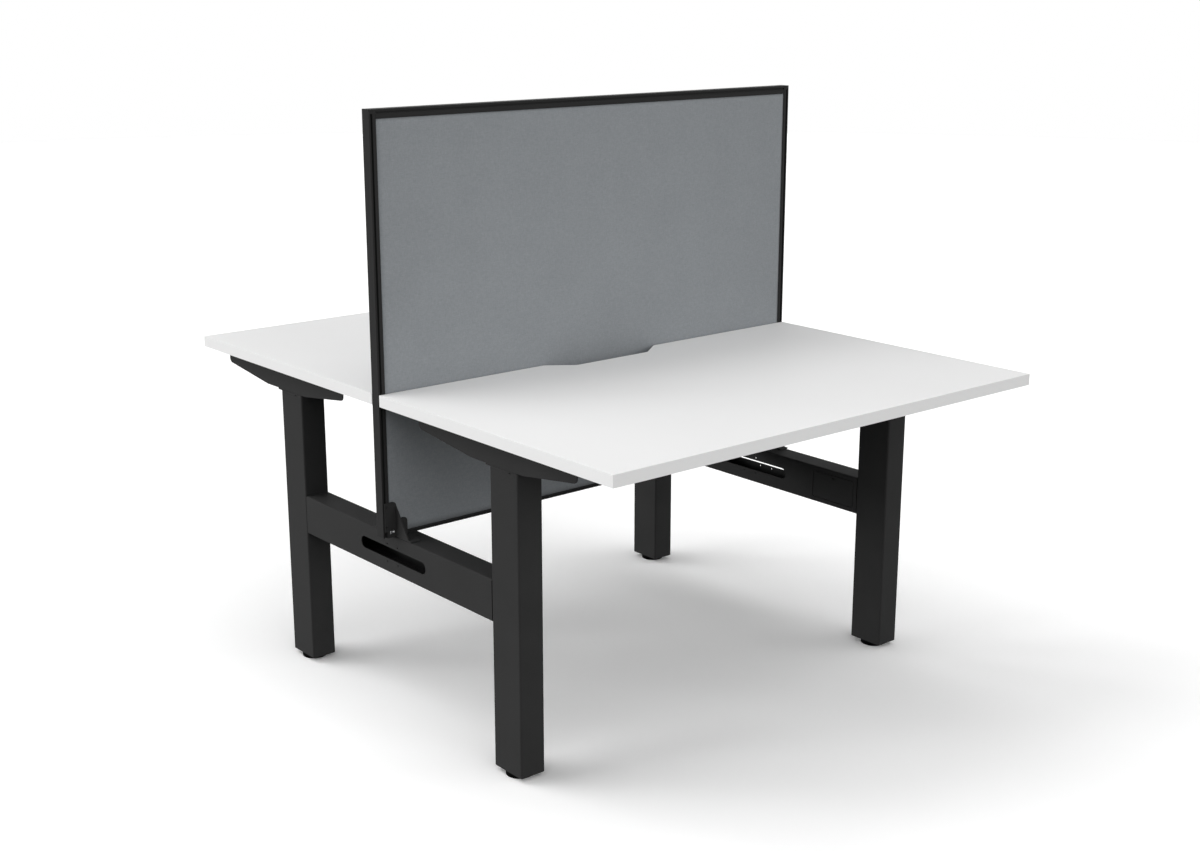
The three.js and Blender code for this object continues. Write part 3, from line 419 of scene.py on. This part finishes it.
def smooth_group():
    """Geometry nodes that join the split corners of a CAD mesh and shade it smooth."""
    tree = bpy.data.node_groups.new("joined_smooth", "GeometryNodeTree")
    tree.interface.new_socket("Geometry", in_out="INPUT", socket_type="NodeSocketGeometry")
    tree.interface.new_socket("Geometry", in_out="OUTPUT", socket_type="NodeSocketGeometry")
    start, end = tree.nodes.new("NodeGroupInput"), tree.nodes.new("NodeGroupOutput")
    plain = tree.nodes.new("GeometryNodeRemoveAttribute")
    plain.inputs["Name"].default_value = "custom_normal"
    merge = tree.nodes.new("GeometryNodeMergeByDistance")
    merge.inputs["Distance"].default_value = MERGE_DISTANCE
    smooth = tree.nodes.new("GeometryNodeSetShadeSmooth")
    soft_edges = tree.nodes.new("GeometryNodeSetShadeSmooth")
    soft_edges.domain = "EDGE"
    chain = (start, plain, merge, smooth, soft_edges, end)
    for one, other in zip(chain, chain[1:]):
        tree.links.new(one.outputs[0], other.inputs[0])
    return tree


def weigh_normals(obj, keep_sharp=False):
    """Normals that follow the large faces: a flat face looks flat up to its rounded edge."""
    normals = obj.modifiers.new("normals", "WEIGHTED_NORMAL")
    normals.mode = "FACE_AREA"
    normals.weight = NORMAL_WEIGHT
    normals.keep_sharp = keep_sharp


def soften(node, group, width):
    """Fine rounded edges on a CAD node, by modifiers that leave its mesh as it is."""
    join = node.modifiers.new("join", "NODES")
    join.node_group = group
    flat = node.modifiers.new("flat", "DECIMATE")
    flat.decimate_type = "DISSOLVE"
    flat.angle_limit = FLAT_ANGLE
    round_edges = node.modifiers.new("edges", "BEVEL")
    round_edges.limit_method = "ANGLE"
    round_edges.angle_limit = EDGE_ANGLE
    round_edges.width = width
    round_edges.segments = EDGE_SEGMENTS
    weigh_normals(node)


def finish_nodes(materials):
    """Gives each CAD node that stays its material and its edges."""
    group = smooth_group()
    for name, node in NODES.items():
        kind = next((k for k in EDGE_KINDS if name.endswith("_" + k)), None)
        if kind is None:
            continue
        finish, width = EDGE_KINDS[kind]
        node.data.materials[0] = materials[finish]
        soften(node, group, width * MM)


def inset_outline(corners, inset):
    """Points of an outline that runs counter-clockwise through corners (x, y, radius), moved inwards."""
    points = []
    for i, (x, y, radius) in enumerate(corners):
        here = Vector((x, y))
        after_corner = corners[(i + 1) % len(corners)]
        into = (here - Vector(corners[i - 1][:2])).normalized()
        out = (Vector(after_corner[:2]) - here).normalized()
        turn = math.atan2(into.x * out.y - into.y * out.x, into.dot(out))
        side = Vector((-into.y, into.x))
        other_side = Vector((-out.y, out.x))
        middle = (side + other_side).normalized()
        corner = here + middle * (inset / middle.dot(side))
        r = max(radius - inset, SHARPEST_RADIUS) if turn > 0 else radius + inset
        start = corner - into * (r * math.tan(abs(turn) / 2))
        centre = start + side * math.copysign(r, turn)
        for step in range(ARC_STEPS + 1):
            spoke = Matrix.Rotation(turn * step / ARC_STEPS, 2) @ (start - centre)
            points.append(centre + spoke)
    return points


def loft(bm, rings, strip_materials):
    """Skins closed rings of equal length and caps both ends; one material for each cap and strip."""
    loops = [[bm.verts.new(p) for p in ring] for ring in rings]
    count = len(loops[0])
    for upper, lower, material in zip(loops, loops[1:], strip_materials[1:-1]):
        for i in range(count):
            j = (i + 1) % count
            face = bm.faces.new((upper[j], upper[i], lower[i], lower[j]))
            face.material_index = material
            face.smooth = True
    for loop, material in ((loops[0], strip_materials[0]), (loops[-1][::-1], strip_materials[-1])):
        face = bm.faces.new(loop)
        face.material_index = material
        face.smooth = True
    return loops


def add_piece(name, bm, materials, body):
    """Makes a mesh object that rides on a body, with its material slot."""
    mesh = bpy.data.meshes.new(name)
    bm.to_mesh(mesh)
    bm.free()
    for material in materials:
        mesh.materials.append(material)
    obj = bpy.data.objects.new(name, mesh)
    bpy.context.scene.collection.objects.link(obj)
    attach(obj, body)
    return obj


def board_corners(desk, end):
    """The outline of a worktop, counter-clockwise, as (x, y, radius)."""
    low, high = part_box(f"{desk}_worktop")
    front, rear = (low.y, high.y) if end < 0 else (high.y, low.y)
    floor = rear + end * SCALLOP_DEPTH
    mouth, bottom = SCALLOP_MOUTH / 2, SCALLOP_FLOOR / 2
    corners = [
        (low.x, front, BOARD_CORNER), (high.x, front, BOARD_CORNER), (high.x, rear, BOARD_CORNER),
        (mouth, rear, SCALLOP_RADIUS), (bottom, floor, SCALLOP_RADIUS),
        (-bottom, floor, SCALLOP_RADIUS), (-mouth, rear, SCALLOP_RADIUS), (low.x, rear, BOARD_CORNER),
    ]
    return corners if end < 0 else corners[::-1]


def worktop(desk, end, face, band):
    """Board with two melamine faces, a fine seam and a rounded edge band all round."""
    low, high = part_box(f"{desk}_worktop")
    corners = board_corners(desk, end)
    seam_out, seam_in = BAND_THICK, BAND_THICK + SEAM_WIDTH
    half = [(seam_in, 0.0), ((seam_in + seam_out) / 2, SEAM_DEPTH), (seam_out, 0.0), (BAND_ROUND, 0.0)]
    for step in range(1, ROUND_STEPS + 1):
        angle = math.pi / 2 * step / ROUND_STEPS
        half.append((BAND_ROUND * (1 - math.sin(angle)), BAND_ROUND * (1 - math.cos(angle))))
    levels = [(inset, high.z - drop) for inset, drop in half]
    levels += [(inset, low.z + drop) for inset, drop in half[::-1]]
    rings = [[(p.x, p.y, z) for p in inset_outline(corners, inset)] for inset, z in levels]
    bm = bmesh.new()
    loops = loft(bm, rings, [0] + [1] * (len(rings) - 1) + [0])
    for loop in loops[:3] + loops[-3:]:
        for one, other in zip(loop, loop[1:] + loop[:1]):
            bm.edges.get((one, other)).smooth = False
    piece = add_piece(f"{desk}_board", bm, (face, band), f"{desk}_desk")
    weigh_normals(piece, keep_sharp=True)
    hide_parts(f"{desk}_worktop")


def cloth(desk, end, material):
    """Stretched screen cloth, slightly crowned, that turns over the edges of the core board."""
    low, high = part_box(f"{desk}_fabric")
    inner = low.y if end > 0 else high.y
    wide, tall = CLOTH_CELLS
    bm = bmesh.new()
    layers = []
    for lift in (0.0, CLOTH_THICK):
        rows = []
        for j in range(tall + 1):
            row = []
            for i in range(wide + 1):
                u, v = 2 * i / wide - 1, 2 * j / tall - 1
                crown = CLOTH_CROWN * (1 - u ** 4) * (1 - v ** 4)
                ripple = CLOTH_RIPPLE * math.sin(9 * u + 2 * v) * math.sin(7 * v)
                drop = CLOTH_EDGE_DROP if lift and (i in (0, wide) or j in (0, tall)) else 0.0
                x = low.x + (high.x - low.x) * i / wide
                z = low.z + (high.z - low.z) * j / tall
                row.append(bm.verts.new((x, inner + end * (lift - drop + crown + ripple), z)))
            rows.append(row)
        layers.append(rows)
    for layer, rows in enumerate(layers):
        for j in range(tall):
            for i in range(wide):
                quad = [rows[j][i], rows[j][i + 1], rows[j + 1][i + 1], rows[j + 1][i]]
                bm.faces.new(quad if (layer == 1) == (end < 0) else quad[::-1])
    inner_rows, outer_rows = layers
    rim = [(0, i) for i in range(wide)] + [(j, wide) for j in range(tall)]
    rim += [(tall, i) for i in range(wide, 0, -1)] + [(j, 0) for j in range(tall, 0, -1)]
    for (j, i), (next_j, next_i) in zip(rim, rim[1:] + rim[:1]):
        quad = [inner_rows[j][i], inner_rows[next_j][next_i], outer_rows[next_j][next_i], outer_rows[j][i]]
        bm.faces.new(quad if end < 0 else quad[::-1])
    for face in bm.faces:
        face.smooth = True
    piece = add_piece(f"{desk}_cloth", bm, (material,), "frame")
    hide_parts(f"{desk}_fabric")


def hexagon(angle, flats):
    """Radius of a hexagon at an angle."""
    return flats / 2 / math.cos((angle + math.pi / 6) % (math.pi / 3) - math.pi / 6)


def screw(bm, place, axis, profile, key, depth):
    """A turned head on an axis, profile (radius, height) from its seat up, with a hexagon socket."""
    angles = [2 * math.pi * i / SCREW_SIDES for i in range(SCREW_SIDES)]
    top = profile[-1][1]
    turn = Vector((0, 0, 1)).rotation_difference(Vector(axis)).to_matrix()
    rings = [[(r * math.cos(a), r * math.sin(a), h) for a in angles] for r, h in profile]
    socket = [(hexagon(a, key) * math.cos(a), hexagon(a, key) * math.sin(a)) for a in angles]
    rings += [[(x, y, level) for x, y in socket] for level in (top, top - depth)]
    rings = [[turn @ Vector(p) + Vector(place) for p in ring] for ring in rings[::-1]]
    loops = loft(bm, rings, [0] * (len(rings) + 1))
    for loop in loops[:2]:
        for one, other in zip(loop, loop[1:] + loop[:1]):
            bm.edges.get((one, other)).smooth = False


def button_profile(radius, height):
    """A domed head on a short straight rim."""
    dome = [(radius * math.cos(a), height * math.sin(a)) for a in DOME_ANGLES]
    return [(radius, 0.0)] + [(r, RIM_SHARE * height + (1 - RIM_SHARE) * h) for r, h in dome]


def grub_profile(radius, height):
    """A headless screw with a chamfered end."""
    return [(radius, 0.0), (radius, height - GRUB_CHAMFER), (radius - GRUB_CHAMFER, height)]


def clip(bm, centre, end, width, height, thick):
    """Bright spring clip behind the slot of a bracket plate: a rounded tongue with a raised rib."""
    x, y, z = centre
    half_w, half_h = width / 2, height / 2
    corners = [(x + a * half_w, z + b * half_h, CLIP_CORNER) for a, b in ((-1, -1), (1, -1), (1, 1), (-1, 1))]
    rings = []
    for inset, rise in CLIP_LEVELS:
        rings.append([(p.x, y + end * thick * rise, p.y) for p in inset_outline(corners, inset)])
    if end < 0:
        rings = [ring[::-1] for ring in rings]
    loft(bm, rings[::-1], [1] * (len(rings) + 1))


def frame_fixings(materials):
    """Sunk screws and bright clips of the four screen brackets."""
    bm = bmesh.new()
    profile = grub_profile(GRUB_RADIUS, SHEET - GRUB_SUNK)
    for desk, end in DESKS:
        for side_name, side in SIDES:
            low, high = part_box(f"{desk}_{side_name}_bracket")
            beam_low, beam_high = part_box(f"{side_name}_beam")
            outer, beam_outer = (high.x, beam_high.x) if side > 0 else (low.x, beam_low.x)
            plate_near, free_edge = (low.y, high.y) if end > 0 else (high.y, low.y)
            for height in PLATE_HOLES:
                place = (outer - side * PLATE_HOLE_INSET, plate_near + end * GRUB_GAP, low.z + height)
                screw(bm, place, (0, end, 0), profile, GRUB_KEY, GRUB_KEY_DEPTH)
            centre = (outer - side * CLIP_INSET, plate_near + end * CLIP_GAP, low.z + CLIP_RISE)
            clip(bm, centre, end, *CLIP_SIZE)
            flange_x = beam_outer - side * (SHEET + FLANGE_REACH) / 2
            place = (flange_x, free_edge - end * FLANGE_HOLE_EDGE, low.z + GRUB_GAP)
            screw(bm, place, (0, 0, 1), profile, GRUB_KEY, GRUB_KEY_DEPTH)
    add_piece("bracket_fixings", bm, materials, "frame")


def desk_fixings(desk, end, materials):
    """Bolts and screws that hold the arms, cross rail, control box and handset of one desk."""
    bm = bmesh.new()
    bolt = button_profile(BOLT_RADIUS, BOLT_HEIGHT)
    small = button_profile(SMALL_SCREW_RADIUS, SMALL_SCREW_HEIGHT)
    for side_name, side in SIDES:
        way = -side
        arm_low, arm_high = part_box(f"{desk}_{side_name}_arm")
        column_low, column_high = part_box(f"{desk}_{side_name}_column")
        axis_x = (column_low.x + column_high.x) / 2
        axis_y = (column_low.y + column_high.y) / 2
        web = arm_high.z - SHEET
        for reach in ARM_SCREW_REACHES:
            screw(bm, (axis_x, axis_y + way * reach, web), DOWN, small, SMALL_KEY, SMALL_KEY_DEPTH)
        head = arm_low.z - SEAT - SHEET
        for offset in HEAD_BOLT_OFFSETS:
            place = (axis_x + offset, axis_y + way * HEAD_BOLT_REACH, head)
            screw(bm, place, DOWN, bolt, BOLT_KEY, BOLT_KEY_DEPTH)
        rail_low, rail_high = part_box(f"{desk}_cross_rail")
        plate = (rail_high.x - SHEET) if side > 0 else (rail_low.x + SHEET)
        middle = (rail_low.z + rail_high.z) / 2
        for offset in RAIL_BOLT_OFFSETS:
            screw(bm, (plate, axis_y + offset, middle), (-side, 0, 0), bolt, BOLT_KEY, BOLT_KEY_DEPTH)
    low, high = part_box(f"{desk}_control_box")
    for x in (low.x + CASE_SCREW_INSET, high.x - CASE_SCREW_INSET):
        for y in (low.y + CASE_SCREW_INSET, high.y - CASE_SCREW_INSET):
            screw(bm, (x, y, low.z), DOWN, small, SMALL_KEY, SMALL_KEY_DEPTH)
    low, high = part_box(f"{desk}_handset")
    rear = high.y if end < 0 else low.y
    for x in (low.x + CASE_SCREW_INSET, high.x - CASE_SCREW_INSET):
        screw(bm, (x, rear + end * CASE_SCREW_INSET, low.z), DOWN, small, SMALL_KEY, SMALL_KEY_DEPTH)
    add_piece(f"{desk}_fixings", bm, materials, f"{desk}_desk")


def seen_directly(nodes, links):
    """1 for rays from the camera, or mirrored or let through by a surface; 0 for rays that only light."""
    path = nodes.new("ShaderNodeLightPath")
    seen = path.outputs["Is Camera Ray"]
    for other in ("Is Glossy Ray", "Is Transmission Ray"):
        either = nodes.new("ShaderNodeMath")
        either.operation = "MAXIMUM"
        links.new(seen, either.inputs[0])
        links.new(path.outputs[other], either.inputs[1])
        seen = either.outputs[0]
    return seen


def mixed_value(nodes, links, factor, low, high):
    """A value that goes from low to high with a factor."""
    span = nodes.new("ShaderNodeMapRange")
    span.inputs["To Min"].default_value = low
    span.inputs["To Max"].default_value = high
    links.new(factor, span.inputs["Value"])
    return span.outputs[0]


def floor():
    """Pale floor that keeps the shadow; its open part meets the white background."""
    bm = bmesh.new()
    bmesh.ops.create_circle(bm, cap_ends=True, segments=FLOOR_SIDES, radius=FLOOR_RADIUS)
    bmesh.ops.translate(bm, verts=bm.verts, vec=(0, 0, -FLOOR_DROP))
    mesh = bpy.data.meshes.new("floor")
    bm.to_mesh(mesh)
    bm.free()
    obj = bpy.data.objects.new("floor", mesh)
    bpy.context.scene.collection.objects.link(obj)
    material = bpy.data.materials.new("pale_floor")
    material.use_nodes = True
    nodes, links = material.node_tree.nodes, material.node_tree.links
    nodes.clear()
    diffuse = nodes.new("ShaderNodeBsdfDiffuse")
    colour = mixed_value(nodes, links, seen_directly(nodes, links), FLOOR_GREY, FLOOR_SEEN)
    links.new(colour, diffuse.inputs["Color"])
    output = nodes.new("ShaderNodeOutputMaterial")
    links.new(diffuse.outputs[0], output.inputs["Surface"])
    mesh.materials.append(material)


def white_dome():
    """World: a soft even dome; white where it is seen or mirrored."""
    world = bpy.data.worlds.new("studio")
    bpy.context.scene.world = world
    world.use_nodes = True
    nodes, links = world.node_tree.nodes, world.node_tree.links
    nodes.clear()
    background = nodes.new("ShaderNodeBackground")
    strength = mixed_value(nodes, links, seen_directly(nodes, links), DOME_LEVEL, 1.0)
    links.new(strength, background.inputs["Strength"])
    background.inputs["Color"].default_value = (1.0, 1.0, 1.0, 1.0)
    output = nodes.new("ShaderNodeOutputWorld")
    links.new(background.outputs[0], output.inputs["Surface"])


def lamp(name, level, azimuth, height, width):
    """Soft lamp far away."""
    azimuth, height = math.radians(azimuth), math.radians(height)
    level_part = math.cos(height)
    to_lamp = Vector((math.cos(azimuth) * level_part, math.sin(azimuth) * level_part, math.sin(height)))
    data = bpy.data.lights.new(name, "SUN")
    data.energy = level * math.pi
    data.angle = math.radians(width)
    obj = bpy.data.objects.new(name, data)
    obj.rotation_euler = (-to_lamp).to_track_quat("-Z", "Y").to_euler()
    obj.visible_glossy = False
    bpy.context.scene.collection.objects.link(obj)


def camera():
    """The photo's camera."""
    data = bpy.data.cameras.new("camera")
    data.lens = CAMERA_LENS
    data.sensor_width = CAMERA_SENSOR
    obj = bpy.data.objects.new("camera", data)
    obj.location = CAMERA_PLACE
    obj.rotation_euler = Vector(CAMERA_WAY).to_track_quat("-Z", "Y").to_euler()
    bpy.context.scene.collection.objects.link(obj)
    bpy.context.scene.camera = obj


def build():
    """Finishes the CAD pieces and adds the Blender pieces."""
    steel, screws = bright_steel(), black_screw()
    finish_nodes({
        "powder": powder_coat(),
        "post": black_aluminium("black_aluminium_post", (DIE_LINES, DIE_LINES, DIE_STRETCH)),
        "rail": black_aluminium("black_aluminium_rail", (DIE_STRETCH, DIE_LINES, DIE_LINES)),
        "plastic": black_plastic(),
        "rubber": foot_rubber_and_shade(),
        "steel": steel,
        "motor": motor_grey(),
        "board": core_board(),
    })
    face, band, weave = white_melamine(), edge_band(), grey_fabric()
    frame_fixings((screws, steel))
    for desk, end in DESKS:
        worktop(desk, end, face, band)
        cloth(desk, end, weave)
        desk_fixings(desk, end, (screws, steel))


bpy.context.scene.view_settings.view_transform = "Standard"
camera()
build()
floor()
white_dome()
for name, values in LAMPS.items():
    lamp(name, *values)
